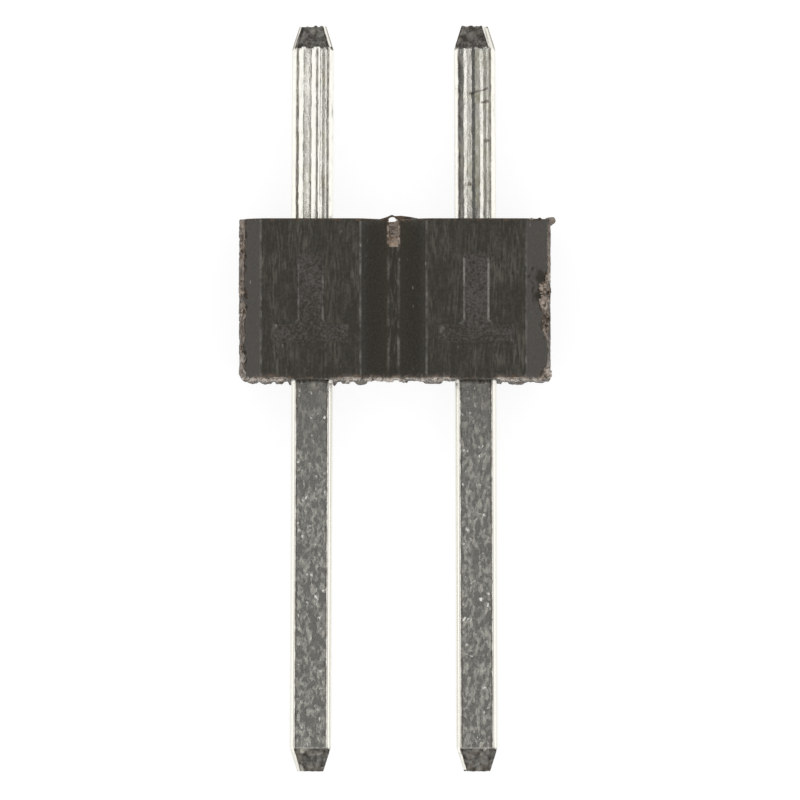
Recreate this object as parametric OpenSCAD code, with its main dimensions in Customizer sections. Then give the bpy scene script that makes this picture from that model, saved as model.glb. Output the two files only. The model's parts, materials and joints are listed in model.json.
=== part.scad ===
// Straight breakaway pin header with two square pins, lying on one broad side.
// X runs along the row, Y along the pins towards the solder tails, and Z up
// from the surface that the header lies on. All sizes are in millimetres.

/* [Pins] */
// Distance between the two pin centres
pitch = 2.54; // [2.2:0.01:3.96]
// Width across the flats of a square pin
pin_w = 0.64; // [0.5:0.01:0.8]
// Radius on the long corners of a pin
pin_corner_r = 0.1; // [0.04:0.01:0.15]
// Length of a solder tail beyond the housing
tail_len = 3.02; // [2:0.01:5]
// Length of a mating post beyond the housing
post_len = 6.04; // [4:0.01:12]
// Length of the taper at each end of a pin
tip_len = 0.38; // [0.2:0.01:0.6]
// Width of a pin's blunt end
tip_w = 0.4; // [0.2:0.01:0.45]

/* [Housing] */
// Length of the housing along the pins
body_len = 2.45; // [2.2:0.01:4]
// Depth of the housing between its two broad sides
body_depth = 2.5; // [2:0.01:3]
// Width of a breaking groove at its mouth, with sides that slope at 45 degrees
groove_w = 1.01; // [0.7:0.01:1.3]
// Width of a breaking groove's floor, and of the web behind it
web_w = 0.17; // [0.1:0.01:0.4]
// Gap between a pin and the wall of its hole, 0 for a press fit
pin_gap = 0; // [0:0.005:0.03]

/* [Sunk panels] */
// Distance from the tail side of the housing to a panel's stem
panel_inset = 0.51; // [0.2:0.01:0.7]
// Width of a panel's stem
panel_stem_w = 0.38; // [0.2:0.01:0.6]
// Length of a panel's stem
panel_stem_len = 1.1; // [0.5:0.01:1.2]
// Width of a panel's cross bar
panel_bar_w = 1.16; // [0.7:0.01:1.25]
// Length of a panel's cross bar along the pins
panel_bar_len = 0.31; // [0.1:0.01:0.35]
// Size of the corner flares where the stem meets the bar
panel_flare = 0.06; // [0.02:0.01:0.1]
// Depth of a panel below the broad face
panel_depth = 0.04; // [0.02:0.01:0.1]

/* [Broken ends] */
// Distance by which the left break falls short of its groove's middle
left_short = 0.16; // [0:0.01:0.3]
// Distance by which the right break falls short of its groove's middle
right_short = 0.12; // [0:0.01:0.3]
// Radius of the worn corner between the left end and the mating side
worn_corner_r = 0.12; // [0.02:0.01:0.3]
// Radius of the chip in the right end's front edge
chip_r = 0.21; // [0.1:0.01:0.25]
// Distance from the tail side to the middle of the chip
chip_from_tail = 1.1; // [0.6:0.01:1.5]
// Radius of the burr at the right end's tail corner
knob_r = 0.06; // [0.03:0.01:0.1]

/* [Web between the pins] */
// Length of the bevels on the web's tail end, front and back
web_bevel_len = 0.43; // [0.1:0.01:0.6]
// Height of the burr that arches over the web's tail end
arch_h = 0.065; // [0.03:0.005:0.1]
// Reach of the arch to the left of the web's middle
arch_left = 0.24; // [0.2:0.01:0.3]
// Reach of the arch to the right of the web's middle
arch_right = 0.4; // [0.2:0.01:0.45]
// Thickness of the arch
arch_t = 0.05; // [0.03:0.01:0.1]

/* [Hidden] */
$fn = 48;

pin_len = tail_len + body_len + post_len;
tail_end_y = pin_len / 2;
seat_y = tail_end_y - tail_len;
mating_y = seat_y - body_len;
mid_z = body_depth / 2;

left_end_x = left_short - pitch;
right_end_x = pitch - right_short;
groove_depth = (groove_w - web_w) / 2;
web_front_z = body_depth - groove_depth;
right_edge_z = body_depth - min(groove_depth, groove_w / 2 - right_short);
tip_angle = atan((pin_w - tip_w) / 2 / tip_len);

// Overlap that takes a cut clear of the surface it starts from
over = 0.1;

// Square pin section with rounded corners, grown by a gap on every side
module pin_section(gap = 0) {
    w = pin_w + 2 * gap;
    r = pin_corner_r + gap;
    square([w, w - 2 * r], center = true);
    square([w - 2 * r, w], center = true);
    for (x = [-1, 1], y = [-1, 1]) {
        translate([x, y] * (w / 2 - r)) circle(r);
    }
}

// Bar of a given section along Y that starts at y and runs towards the posts
module along_pins(y, length) {
    translate([0, y, 0]) rotate([90, 0, 0]) linear_extrude(length) children();
}

// Cuts for the four sloping faces of a tip whose blunt end is at the origin
module tip_cuts() {
    for (turn = [0 : 90 : 270]) {
        rotate([0, turn, 0]) translate([tip_w / 2, 0, 0]) rotate([0, 0, tip_angle])
            translate([0, -pin_w - tip_len, -pin_w]) cube([pin_w, pin_w + tip_len + over, 2 * pin_w]);
    }
}

module pin(x) {
    color("silver") translate([x, 0, mid_z]) difference() {
        along_pins(tail_end_y, pin_len) pin_section();
        translate([0, tail_end_y, 0]) tip_cuts();
        mirror([0, 1, 0]) translate([0, tail_end_y, 0]) tip_cuts();
    }
}

// Mouth, sloping sides and floor of one breaking groove, open towards +Y
module groove_profile() {
    polygon([
        [-groove_w / 2 - over, over],
        [-web_w / 2, -groove_depth],
        [web_w / 2, -groove_depth],
        [groove_w / 2 + over, over],
    ]);
}

// Plan of the housing in X and Z, broken off inside its two end grooves
module housing_plan() {
    difference() {
        translate([left_end_x, 0]) square([right_end_x - left_end_x, body_depth]);
        for (line = [-1 : 1]) {
            translate([line * pitch, body_depth]) groove_profile();
            translate([line * pitch, 0]) mirror([0, 1]) groove_profile();
        }
        for (side = [-1, 1]) {
            translate([side * pitch / 2, mid_z]) pin_section(pin_gap);
        }
    }
}

// Outline of a sunk panel, a stem that flares into a cross bar, with its top at the origin
module panel_outline() {
    bar_y = -panel_stem_len - panel_bar_len;
    stem = panel_stem_w / 2;
    bar = panel_bar_w / 2;
    polygon([
        [stem, 0],
        [stem, -panel_stem_len + panel_flare],
        [stem + panel_flare, -panel_stem_len],
        [bar, -panel_stem_len],
        [bar, bar_y],
        [-bar, bar_y],
        [-bar, -panel_stem_len],
        [-stem - panel_flare, -panel_stem_len],
        [-stem, -panel_stem_len + panel_flare],
        [-stem, 0],
    ]);
}

module sunk_panels() {
    for (side = [-1, 1]) {
        translate([side * pitch / 2, seat_y - panel_inset, body_depth - panel_depth])
            linear_extrude(panel_depth + over) panel_outline();
    }
}

// Bevels that bring the web's tail end to a ridge halfway through the housing
module web_bevels() {
    run = mid_z - groove_depth;
    for (flip = [0, 1]) {
        translate([-web_w / 2, seat_y, mid_z]) mirror([0, 0, flip]) rotate([90, 0, 90])
            linear_extrude(web_w) polygon([[0, 0], [over, 0], [over, run], [-web_bevel_len, run]]);
    }
}

// What a worn round corner leaves outside it, with the sharp corner at the origin
module worn_corner() {
    translate([left_end_x, mating_y, -over]) linear_extrude(body_depth + 2 * over) difference() {
        translate([-over, -over]) square(worn_corner_r + over);
        translate([worn_corner_r, worn_corner_r]) circle(worn_corner_r);
    }
}

// Hollow that broke out of the right end's front edge
module chip() {
    translate([right_end_x, seat_y - chip_from_tail, right_edge_z + chip_r / 2]) sphere(chip_r);
}

// Round burr on the right end, level with the tail side
module knob() {
    translate([right_end_x + knob_r / 2, seat_y - knob_r / 2, mid_z]) sphere(knob_r);
}

// Thin burr that stands on the groove's sides and arches over the web's tail end
module arch() {
    foot = arch_t;
    translate([0, seat_y, web_front_z]) linear_extrude(arch_t) polygon([
        [-arch_left, 0],
        [0, arch_h],
        [arch_right, 0],
        [arch_right, -foot],
        [web_w / 2, -foot],
        [0, arch_h - arch_t],
        [-web_w / 2, -foot],
        [-arch_left, -foot],
    ]);
}

module housing() {
    color("#33312d") {
        difference() {
            along_pins(seat_y, body_len) housing_plan();
            sunk_panels();
            web_bevels();
            worn_corner();
            chip();
        }
        knob();
        arch();
    }
}

module left_pin() {
    pin(-pitch / 2);
}

module right_pin() {
    pin(pitch / 2);
}

housing();
left_pin();
right_pin();
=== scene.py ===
"""Two-pin breakaway header: torn black housing, tinned pins with drawn tails, and a white stage."""

import json
import math
from types import SimpleNamespace

import bmesh
import bpy
from bpy.props import FloatProperty, FloatVectorProperty, PointerProperty
from bpy.types import Operator, Panel, PropertyGroup
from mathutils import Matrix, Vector, noise


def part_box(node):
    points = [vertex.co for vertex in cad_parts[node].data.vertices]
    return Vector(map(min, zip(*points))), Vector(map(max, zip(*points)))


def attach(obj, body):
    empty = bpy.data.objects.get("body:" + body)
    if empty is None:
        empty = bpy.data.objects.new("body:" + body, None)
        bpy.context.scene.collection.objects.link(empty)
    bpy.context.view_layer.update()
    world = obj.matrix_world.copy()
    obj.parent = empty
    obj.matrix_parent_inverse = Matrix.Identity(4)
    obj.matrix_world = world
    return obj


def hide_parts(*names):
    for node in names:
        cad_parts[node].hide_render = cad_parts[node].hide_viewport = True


bl_info = {
    "name": "Pin Header",
    "version": (1, 0, 0),
    "blender": (4, 5, 0),
    "location": "3D View > Sidebar > Pin Header",
    "description": "Finishes a two-pin breakaway header and lights it on a white stage",
    "category": "Object",
}

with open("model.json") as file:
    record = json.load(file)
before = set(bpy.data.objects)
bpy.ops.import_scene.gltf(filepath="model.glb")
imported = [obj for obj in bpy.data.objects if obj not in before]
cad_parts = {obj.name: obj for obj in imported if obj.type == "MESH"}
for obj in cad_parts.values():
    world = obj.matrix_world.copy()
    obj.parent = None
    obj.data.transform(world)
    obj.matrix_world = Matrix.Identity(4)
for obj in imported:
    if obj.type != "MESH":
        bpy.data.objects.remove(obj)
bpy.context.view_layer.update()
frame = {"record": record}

# One millimetre in metres. Meshes are shaped in millimetres and scaled when they are done.
MM = 0.001
# Distance in millimetres below which two places count as one
TINY = 1e-4
# Distance in millimetres within which a vertex counts as lying on a cut
SNAP = 0.003


def box_in_mm(node):
    """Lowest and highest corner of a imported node, in millimetres."""
    low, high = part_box(node)
    return low / MM, high / MM


HOUSING_LOW, HOUSING_HIGH = box_in_mm("housing")
LEFT_PIN_LOW, LEFT_PIN_HIGH = box_in_mm("left_pin")
RIGHT_PIN_LOW, RIGHT_PIN_HIGH = box_in_mm("right_pin")
MOUNTS = {mount["name"]: Vector(mount["pos_m"]) / MM for mount in frame["record"]["mounts"]}

PIN_X = {
    "left_pin": (LEFT_PIN_LOW.x + LEFT_PIN_HIGH.x) / 2,
    "right_pin": (RIGHT_PIN_LOW.x + RIGHT_PIN_HIGH.x) / 2,
}
PIN_W = LEFT_PIN_HIGH.x - LEFT_PIN_LOW.x
PITCH = PIN_X["right_pin"] - PIN_X["left_pin"]
TAIL_END_Y = LEFT_PIN_HIGH.y
POST_END_Y = LEFT_PIN_LOW.y
SEAT_Y = MOUNTS["board_seat"].y
MATING_Y = HOUSING_LOW.y
LEFT_X = HOUSING_LOW.x
DEPTH = HOUSING_HIGH.z
MID_Z = DEPTH / 2


def length(name, description, size, low=0.0):
    """A length that a user can change, given in millimetres."""
    return FloatProperty(
        name=name,
        description=description,
        default=size * MM,
        min=low * MM,
        precision=6,
        subtype="DISTANCE",
        unit="LENGTH",
    )


def share(name, description, value):
    """A plain number from 0 to 1 that a user can change."""
    return FloatProperty(
        name=name, description=description, default=value, min=0.0, max=1.0, subtype="FACTOR"
    )


def amount(name, description, value):
    """A plain number from 0 up that a user can change."""
    return FloatProperty(name=name, description=description, default=value, min=0.0, precision=3)


def colour(name, description, value):
    """A colour that a user can change."""
    return FloatVectorProperty(
        name=name, description=description, default=value, size=3, min=0.0, max=1.0, subtype="COLOR"
    )


class HousingLook(PropertyGroup):
    """Sizes and colours of the moulded housing."""

    groove_w: length("Groove width", "Width of a breaking groove at its mouth", 1.01)
    web_w: length("Web width", "Width of a breaking groove's floor", 0.17)
    right_short: length("Right break", "Distance from the right break to its groove's middle", 0.12)
    edge_r: length("Edge radius", "Radius of the edges along the pins", 0.03)
    rim_r: length("Rim radius", "Radius of the edges round the two pin sides", 0.015)
    hole_gap: length("Hole gap", "Gap between a pin and its hole", 0.004)
    slot_len: length("Slot length", "Length of the slot in the web's tail end", 0.43)
    slot_back: length("Slot setback", "Distance from the slot's ridge to the tail side", 0.002)
    panel_inset: length("Panel inset", "Distance from the tail side to a sunk panel", 0.51)
    panel_stem_w: length("Stem width", "Width of a sunk panel's stem", 0.38)
    panel_stem_len: length("Stem length", "Length of a sunk panel's stem", 1.1)
    panel_bar_w: length("Bar width", "Width of a sunk panel's cross bar", 1.16)
    panel_bar_len: length("Bar length", "Length of a sunk panel's cross bar along the pins", 0.31)
    panel_flare: length("Flare", "Size of the flares between stem and bar", 0.06)
    panel_wall: length("Panel wall", "Width of the sloping walls at a sunk panel's sides", 0.03)
    panel_fade: length("Panel fade", "Length of the slopes at a sunk panel's ends", 0.07)
    panel_depth: length("Panel depth", "Depth of a sunk panel", 0.035)
    tear: length("Tear", "How far the breaks have bitten into the ends' edges", 0.075)
    worn_r: length("Worn corner", "Radius of the worn corner at the left end", 0.09)
    knob_r: length("Knob radius", "Radius of the burr at the right end's tail corner", 0.06)
    step: length("Mesh step", "Distance between the cuts that carry the wear", 0.028)
    end_step: length("End mesh step", "Distance between the cuts across the broken ends", 0.02)
    plastic: colour("Plastic", "Colour of the moulded plastic", (0.0338, 0.0302, 0.0228))
    rubbed: colour("Rubbed", "Colour of rubbed and grained plastic", (0.09, 0.082, 0.067))
    # Worn: colour of the painted highlights along the edges and panel rims, and of the dust specks
    worn: colour("Worn", "Colour of worn edges and specks", (0.27, 0.258, 0.235))
    bruised: colour("Bruised", "Colour of bruised plastic beside a break", (0.11, 0.076, 0.052))
    skin: colour("Skin", "Colour of the smooth bevels beside the breaks", (0.1, 0.07, 0.05))
    grained: colour("Grained", "Colour of the sunk panels' grain", (0.093, 0.083, 0.076))
    torn: colour("Torn", "Colour of torn plastic", (0.43, 0.36, 0.3))
    frayed: colour("Frayed", "Colour of frayed plastic", (0.76, 0.7, 0.635))
    # Slot colours: stretched plastic, painted paler to stand for light that the deep slot lacks
    slot_dark: colour("Slot shade", "Darker colour of stretched plastic in the slot", (0.26, 0.165, 0.105))
    slot_pale: colour("Slot tan", "Paler colour of stretched plastic in the slot", (0.6, 0.43, 0.27))


class PinLook(PropertyGroup):
    """Sizes and finish of the tinned pins."""

    corner_r: length("Corner radius", "Radius on the long corners", 0.1)
    tip_len: length("Tip length", "Length of the taper at each end", 0.38)
    tip_w: length("Tip width", "Width of the blunt end", 0.4)
    tin: colour("Tin", "Colour of the tin plating", (0.96, 0.945, 0.87))
    bare: colour("Bare", "Colour of the bare metal at the sheared tips", (0.56, 0.5, 0.43))
    tarnish: colour("Tarnish", "Colour of the tarnished spots on the tails", (0.8, 0.765, 0.6))
    bloom: colour("Bloom", "Colour of the milky bloom on the tails", (0.82, 0.785, 0.73))
    # Grime: dirt in the scratches, and the colour of the painted dark lines along the pins' edges
    grime: colour("Grime", "Colour of the dirt along the edges and in the scratches", (0.24, 0.195, 0.15))
    tail_rough: share("Tail roughness", "Roughness of the drawn tails", 0.16)
    dull_rough: share("Dull roughness", "Roughness of the dull bands along the tails", 0.85)
    post_rough: share("Post roughness", "Roughness of the handled posts", 0.45)


class StageLook(PropertyGroup):
    """Camera, light and floor."""

    lens: length("Lens", "Focal length of the camera", 500.0)
    view_w: length("View width", "Width of the picture at the pins' mid height", 12.353)
    aim_x: length("Aim X", "Aim along the row", 0.1, low=-5.0)
    aim_y: length("Aim Y", "Aim along the pins", -0.022, low=-5.0)
    tilt: FloatProperty(
        name="Tilt",
        description="Lean of the view from straight above to the mating side",
        default=math.radians(1.5),
        subtype="ANGLE",
        unit="ROTATION",
    )
    side_light: amount("Side light", "Radiance of the left and right", 1.1)
    end_light: amount("End light", "Radiance beyond the pins' ends", 0.4)
    top_light: amount("Top light", "Radiance straight above", 0.17)
    dark_ring: amount("Dark ring", "Radiance round the top", 0.07)
    lamp_w: length("Lamp width", "Width of the round lamp overhead", 100.0)
    lamp_up: length("Lamp height", "Height of the round lamp above the floor", 60.0)
    lamp_power: amount("Lamp power", "Power of the overhead lamp in watts", 0.049)


def in_mm(group):
    """A property group's lengths in millimetres, its colours as tuples and its other values as they are."""
    sizes = SimpleNamespace()
    for prop in group.bl_rna.properties:
        if prop.identifier in {"rna_type", "name"}:
            continue
        value = getattr(group, prop.identifier)
        if prop.unit == "LENGTH":
            value /= MM
        elif prop.subtype == "COLOR":
            value = tuple(value)
        setattr(sizes, prop.identifier, value)
    return sizes


def clamp(value, low=0.0, high=1.0):
    """The value, held between low and high."""
    return max(low, min(high, value))


def ease(value, low, high):
    """Smooth step from 0 at low to 1 at high."""
    t = clamp((value - low) / (high - low))
    return t * t * (3 - 2 * t)


def along(points, place):
    """Value at a place on a line of (place, value) points in rising order."""
    if place <= points[0][0]:
        return points[0][1]
    for (a, low), (b, high) in zip(points, points[1:]):
        if place <= b:
            return low + (high - low) * (place - a) / (b - a)
    return points[-1][1]


def rough(x, y, z, size, seed=0.0):
    """Noise from -1 to 1 whose lumps are about size across."""
    return noise.noise(Vector((x / size + seed, y / size - seed, z / size + 0.37 * seed)))


def spread(breaks, step):
    """The breaks in rising order, with even places between them no further apart than step."""
    breaks = sorted(breaks)
    places = []
    for a, b in zip(breaks, breaks[1:]):
        count = max(1, math.ceil((b - a) / step - TINY))
        places += [a + (b - a) * i / count for i in range(count)]
    return places + [breaks[-1]]


def made_of(made, kind):
    """The elements of one kind that a mesh operation has made."""
    return [item for item in made["geom"] if isinstance(item, kind)]


def new_verts(made):
    """The vertices that a mesh operation has made."""
    return made_of(made, bmesh.types.BMVert)


def add_marks(bm, names):
    """Adds a number on each vertex for each name, which the materials read."""
    return SimpleNamespace(**{name: bm.verts.layers.float.new(name) for name in names})


def finished(name, bm, material, crease):
    """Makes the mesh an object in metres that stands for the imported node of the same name."""
    bmesh.ops.scale(bm, vec=(MM, MM, MM), verts=bm.verts)
    mesh = bpy.data.meshes.new(name)
    bm.to_mesh(mesh)
    bm.free()
    mesh.materials.append(material)
    mesh.shade_smooth()
    mesh.set_sharp_from_angle(angle=crease)
    piece = bpy.data.objects.new(name + "_finish", mesh)
    bpy.context.scene.collection.objects.link(piece)
    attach(piece, "root")
    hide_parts(name)
    return piece


# Shader nodes


class Nodes:
    """Short ways to add nodes to one shader tree."""

    def __init__(self, tree):
        self.tree = tree

    def add(self, kind, **settings):
        """New node with its settings."""
        node = self.tree.nodes.new("ShaderNode" + kind)
        for name, value in settings.items():
            setattr(node, name, value)
        return node

    def put(self, value, socket):
        """Links a socket, or sets a plain value."""
        if isinstance(value, bpy.types.NodeSocket):
            self.tree.links.new(value, socket)
        else:
            socket.default_value = value

    def feed(self, node, values):
        """Links or sets a node's inputs by name. Returns its outputs."""
        for name, value in values.items():
            self.put(value, node.inputs[name])
        return node.outputs

    def wire(self, node, *values):
        """Links or sets a node's inputs in order. Returns its first output."""
        for value, socket in zip(values, node.inputs):
            self.put(value, socket)
        return node.outputs[0]

    def calc(self, operation, *values):
        """One step of arithmetic."""
        return self.wire(self.add("Math", operation=operation), *values)

    def chain(self, operation, values):
        """The same step of arithmetic from the first value to the last."""
        result = values[0]
        for value in values[1:]:
            result = self.calc(operation, result, value)
        return result

    def plus(self, *values):
        """Sum of the values."""
        return self.chain("ADD", values)

    def times(self, *values):
        """Product of the values."""
        return self.chain("MULTIPLY", values)

    def most(self, *values):
        """Largest of the values."""
        return self.chain("MAXIMUM", values)

    def minus(self, first, second):
        """The first value less the second."""
        return self.calc("SUBTRACT", first, second)

    def inverse(self, value):
        """One less the value."""
        return self.minus(1.0, value)

    def unsigned(self, value):
        """The value without its sign."""
        return self.calc("ABSOLUTE", value)

    def rescale(self, value, low, high, to_low=0.0, to_high=1.0, kind="LINEAR"):
        """Maps a value from one range to another and clamps it there."""
        ranges = {"From Min": low, "From Max": high, "To Min": to_low, "To Max": to_high}
        node = self.add("MapRange", interpolation_type=kind)
        return self.feed(node, {"Value": value, **ranges})["Result"]

    def mix(self, kind, part, first, second):
        """Goes from the first at 0 to the second at 1."""
        node = self.add("Mix", data_type="RGBA" if kind == "Color" else "FLOAT")
        given = {"Factor_Float": part, "A_" + kind: first, "B_" + kind: second}
        for socket in node.inputs:
            if socket.identifier in given:
                self.put(given[socket.identifier], socket)
        return next(socket for socket in node.outputs if socket.identifier == "Result_" + kind)

    def blend(self, part, first, second):
        """Value between two values."""
        return self.mix("Float", part, first, second)

    def tint(self, part, first, second):
        """Colour between two colours."""
        pair = [(*item, 1.0) if isinstance(item, tuple) else item for item in (first, second)]
        return self.mix("Color", part, *pair)

    def noise(self, vector, scale, detail, roughness, distortion):
        """Height of a noise texture."""
        shape = {"Scale": scale, "Detail": detail, "Roughness": roughness, "Distortion": distortion}
        return self.feed(self.add("TexNoise"), {"Vector": vector, **shape})["Fac"]

    def cells(self, vector, scale):
        """Outputs of a texture of random cells, and a random number for each cell."""
        cells = self.feed(self.add("TexVoronoi"), {"Vector": vector, "Scale": scale})
        return cells, self.feed(self.add("SeparateColor"), {"Color": cells["Color"]})["Red"]

    def stretched(self, vector, scale, turn=0.0):
        """Scales a vector by a different amount along each axis after a turn about Z."""
        values = {"Vector": vector, "Scale": scale, "Rotation": (0.0, 0.0, turn)}
        return self.feed(self.add("Mapping"), values)["Vector"]

    def place_in_mm(self):
        """Object coordinates in millimetres."""
        return self.stretched(self.add("TexCoord").outputs["Object"], (1 / MM, 1 / MM, 1 / MM))

    def axes(self, vector):
        """The vector's three parts."""
        return self.feed(self.add("SeparateXYZ"), {"Vector": vector})

    def attribute(self, name):
        """Number that the mesh carries under a name."""
        return self.add("Attribute", attribute_name=name).outputs["Fac"]

    def bump(self, height, distance):
        """Normal from a height whose full range stands for a distance in millimetres."""
        return self.feed(self.add("Bump"), {"Distance": distance * MM, "Height": height})["Normal"]

    def effect(self, build, place, fineness):
        """Places a shared effect's node group, which is made on its first use. Returns its outputs."""
        name = build.__name__.replace("_", " ").capitalize()
        group = bpy.data.node_groups.get(name) or new_group(name, build)
        return self.feed(self.add("Group", node_tree=group), {"Place": place, "Fineness": fineness})


def new_group(name, build):
    """Node group of an effect, from a Place in millimetres and a Fineness per millimetre."""
    tree = bpy.data.node_groups.new(name, "ShaderNodeTree")
    tree.interface.new_socket("Place", in_out="INPUT", socket_type="NodeSocketVector")
    tree.interface.new_socket("Fineness", in_out="INPUT", socket_type="NodeSocketFloat")
    n = Nodes(tree)
    given = tree.nodes.new("NodeGroupInput").outputs
    results = build(n, given["Place"], given["Fineness"])
    for label in results:
        tree.interface.new_socket(label, in_out="OUTPUT", socket_type="NodeSocketFloat")
    n.feed(tree.nodes.new("NodeGroupOutput"), results)
    return tree


def rubbed_lines(n, place, fineness):
    """Fine lines along the pins: Lines is their height."""
    return {"Lines": n.noise(n.stretched(place, (1.0, 0.12, 1.0)), fineness, 3.0, 0.6, 0.3)}


def grain(n, place, fineness):
    """Rough grain: Grain is its height."""
    return {"Grain": n.noise(place, fineness, 3.0, 0.65, 0.2)}


def specks(n, place, fineness):
    """Scattered specks, in few of the cells."""
    cells, pick = n.cells(place, fineness)
    dot = n.rescale(cells["Distance"], 0.22, 0.06)
    return {"Specks": n.times(dot, n.rescale(pick, 0.88, 0.97))}


def flecks(n, place, fineness):
    """Short bright marks of a handled plating along the pins. Tilt is their height in millimetres."""
    wander = n.feed(n.add("TexNoise"), {"Vector": place, "Scale": 9.0})["Color"]
    bent = n.wire(n.add("VectorMath", operation="MULTIPLY_ADD"), wander, (0.12, 0.12, 0.12), place)
    long_place = n.stretched(bent, (1.0, 0.65, 1.0))
    cells, pick = n.cells(long_place, fineness)
    size = n.rescale(pick, 0.45, 1.0, 0.0, 0.4)
    mark = n.rescale(n.minus(size, cells["Distance"]), 0.0, 0.15)
    # Each mark is a small facet that leans sideways
    off_middle = n.wire(n.add("VectorMath", operation="SUBTRACT"), long_place, cells["Position"])
    return {"Flecks": mark, "Tilt": n.times(mark, n.axes(off_middle)["X"])}


def new_material(name):
    """Material with an empty Principled shader. Returns the material, its nodes and the shader."""
    material = bpy.data.materials.new(name)
    material.use_nodes = True
    return material, Nodes(material.node_tree), material.node_tree.nodes["Principled BSDF"]


# Plastic

# What the housing's vertices carry: how torn (on the tail side's rim and the slot's lips partly a painted
# highlight), sunk into a panel, painted with an edge highlight (worn), dulled and darkened (partly painted
# shade), and frayed they are
HOUSING_MARKS = ("torn", "panel", "worn", "matte", "frayed")


def plastic_places(n, s):
    """Masks of the housing's faces, grooves and slot, and the textures that its colours share."""
    at = SimpleNamespace(**{mark: n.attribute(mark) for mark in HOUSING_MARKS})
    place = n.place_in_mm()
    x, at.y, z = n.axes(place)
    at.lines = n.effect(rubbed_lines, place, 34.0)["Lines"]
    at.broad_lines = n.effect(rubbed_lines, place, 11.0)["Lines"]
    at.fine_grain = n.effect(grain, place, 27.0)["Grain"]
    at.coarse_grain = n.effect(grain, place, 11.0)["Grain"]
    at.zones = n.effect(grain, n.stretched(place, (1.0, 0.4, 1.0)), 3.0)["Grain"]
    at.dust = n.effect(specks, n.stretched(place, (1.0, 0.6, 1.0)), 10.0)["Specks"]

    from_middle = n.unsigned(n.minus(z, MID_Z))
    at.on_face = n.rescale(from_middle, MID_Z - 0.03, MID_Z - 0.008)
    at.rubbed = n.times(at.on_face, n.inverse(at.panel))

    from_web = n.unsigned(x)
    web_half = s.web_w / 2
    mouth = s.groove_w / 2
    on_web = n.rescale(from_web, web_half + 0.01, web_half)
    at.off_wall = n.rescale(from_web, mouth - 0.02, mouth)
    past_slot = n.rescale(at.y, slot_start(s) - 0.02, slot_start(s) + 0.02)
    web_up = web_front(s) - MID_Z
    below_web = n.rescale(from_middle, web_up - 0.01, web_up - 0.03)
    # The slot's partly painted light fades towards the back
    to_front = n.rescale(z, MID_Z - 0.4, MID_Z + 0.1, 0.1, 1.0)
    at.in_slot = n.times(past_slot, on_web, below_web, to_front)
    # Painted light: the grooves' walls are lightened towards the web, against the shade near the groove's
    # floor
    painted_wall_light = n.rescale(from_web, web_half, mouth, 0.6, 0.15)
    groove_light = n.blend(on_web, painted_wall_light, n.rescale(at.lines, 0.35, 0.7, -0.7, 0.95))
    # Painted sheen: outside the grooves the plastic off the broad faces, mainly the chamfers, is lightened a
    # little
    at.groove_light = n.blend(at.off_wall, groove_light, 0.15)
    return at


def moulded_colour(n, s, at):
    """Colour of the unbroken plastic: streaked faces, grained panels, painted light in the grooves and on
    the chamfers, painted highlights along the edges and panel rims, dust specks, and dull dark lines that
    are partly painted shade.
    """
    speckle = n.rescale(at.fine_grain, 0.3, 0.7, -0.26, 0.26)
    streaks = n.times(
        n.rescale(at.lines, 0.39, 0.69, 0.0, 0.6),
        n.rescale(at.broad_lines, 0.35, 0.65, 0.25, 1.75),
        n.rescale(at.zones, 0.35, 0.65, 0.25, 1.65),
    )
    grained = n.plus(
        n.rescale(at.fine_grain, 0.34, 0.7, -0.2, 1.15),
        n.rescale(at.zones, 0.3, 0.7, -0.2, 0.25),
    )
    lightness = n.plus(n.blend(at.rubbed, at.groove_light, streaks), speckle)
    lightness = n.blend(at.panel, lightness, grained)
    moulded = n.tint(lightness, s.plastic, n.tint(at.panel, s.rubbed, s.grained))
    off_face = n.times(at.off_wall, n.inverse(n.most(at.on_face, at.panel)))
    bevelled = n.times(off_face, n.rescale(at.coarse_grain, 0.3, 0.7, 0.02, 0.28))
    moulded = n.tint(bevelled, moulded, s.skin)
    # Painted highlights along the edges and panel rims, and the dust specks
    painted_edge_sheen = n.times(at.worn, n.rescale(at.fine_grain, 0.3, 0.6, 0.5, 1.1))
    moulded = n.tint(n.most(n.times(at.dust, 0.9), painted_edge_sheen), moulded, s.worn)
    # Dull dark lines: beside the left tear, and painted shade beside the right end's crumbs
    return n.tint(at.matte, moulded, s.plastic)


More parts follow.
